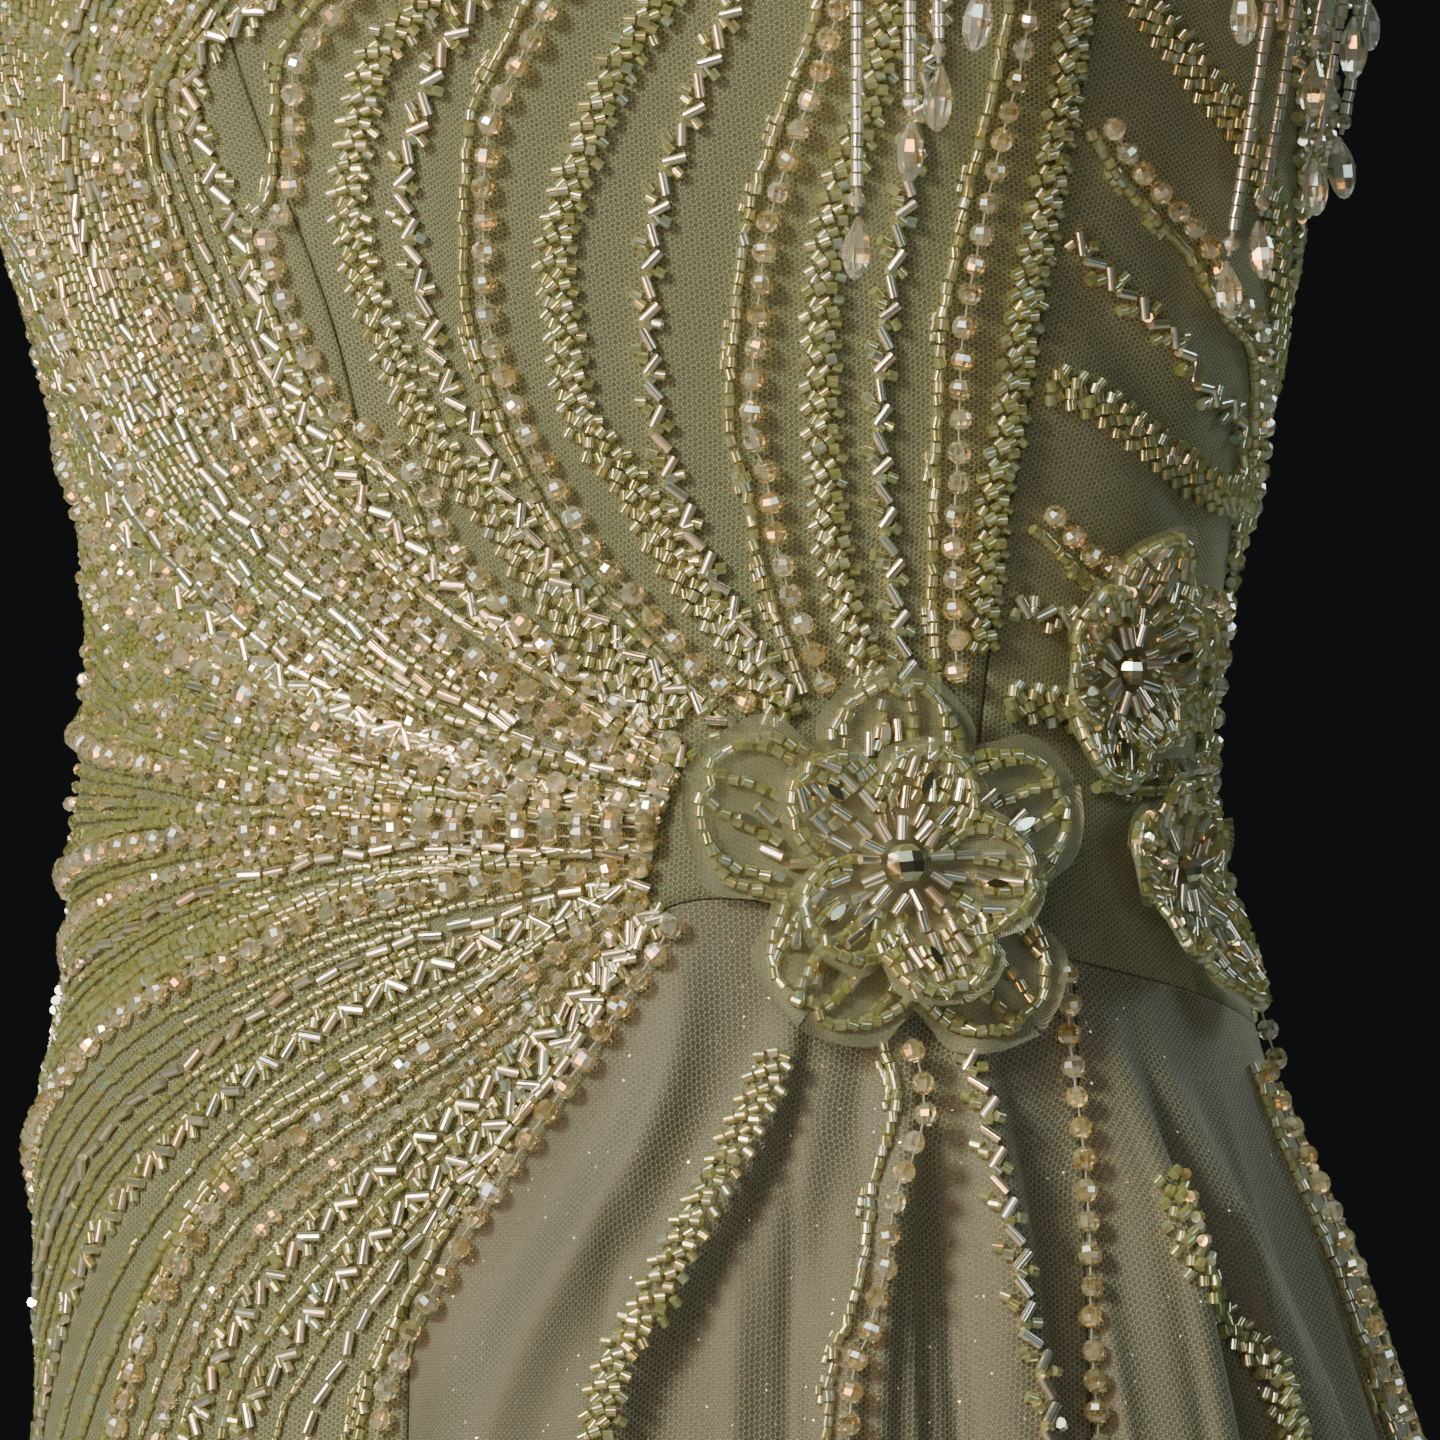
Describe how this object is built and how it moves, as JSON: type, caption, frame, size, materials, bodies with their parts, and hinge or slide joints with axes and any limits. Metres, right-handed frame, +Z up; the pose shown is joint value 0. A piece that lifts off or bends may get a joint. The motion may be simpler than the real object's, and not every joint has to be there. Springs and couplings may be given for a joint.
{
  "type": "tulle evening gown",
  "caption": "Floor-length fitted tulle evening gown in its worn shape: princess bodice, asymmetric gathered skirt, organza flowers at the left hip, bead fringe at the bust.",
  "frame": {"origin": "midway between the tops of the two shoulder straps, where the wearer holds the gown up", "axes": "+Z up, -Y to the wearer's front, +X to the wearer's left"},
  "size_m": [0.5533, 0.5239, 1.4202],
  "materials": {
    "beaded_tulle": "sage green tulle over matching ground, closely beaded",
    "skirt_tulle": "soft beige grey tulle in layers with a fine glitter",
    "organza": "crisp glossy organza petals edged with seed beads",
    "glass_beads": "clear faceted glass beads"
  },
  "bodies": {
    "root": {"front_centre": "beaded_tulle", "front_side_left": "beaded_tulle", "front_side_right": "beaded_tulle", "back_side_left": "beaded_tulle", "back_side_right": "beaded_tulle", "back_left": "beaded_tulle", "back_right": "beaded_tulle", "skirt_front": "skirt_tulle", "skirt_left": "skirt_tulle", "strap_left": "beaded_tulle", "strap_right": "beaded_tulle", "flower_hip_outer": "organza", "flower_hip_inner": "organza", "flower_side_upper": "organza", "flower_side_lower": "organza", "fringe_front": "glass_beads", "fringe_side": "glass_beads"}
  },
  "joints": []
}
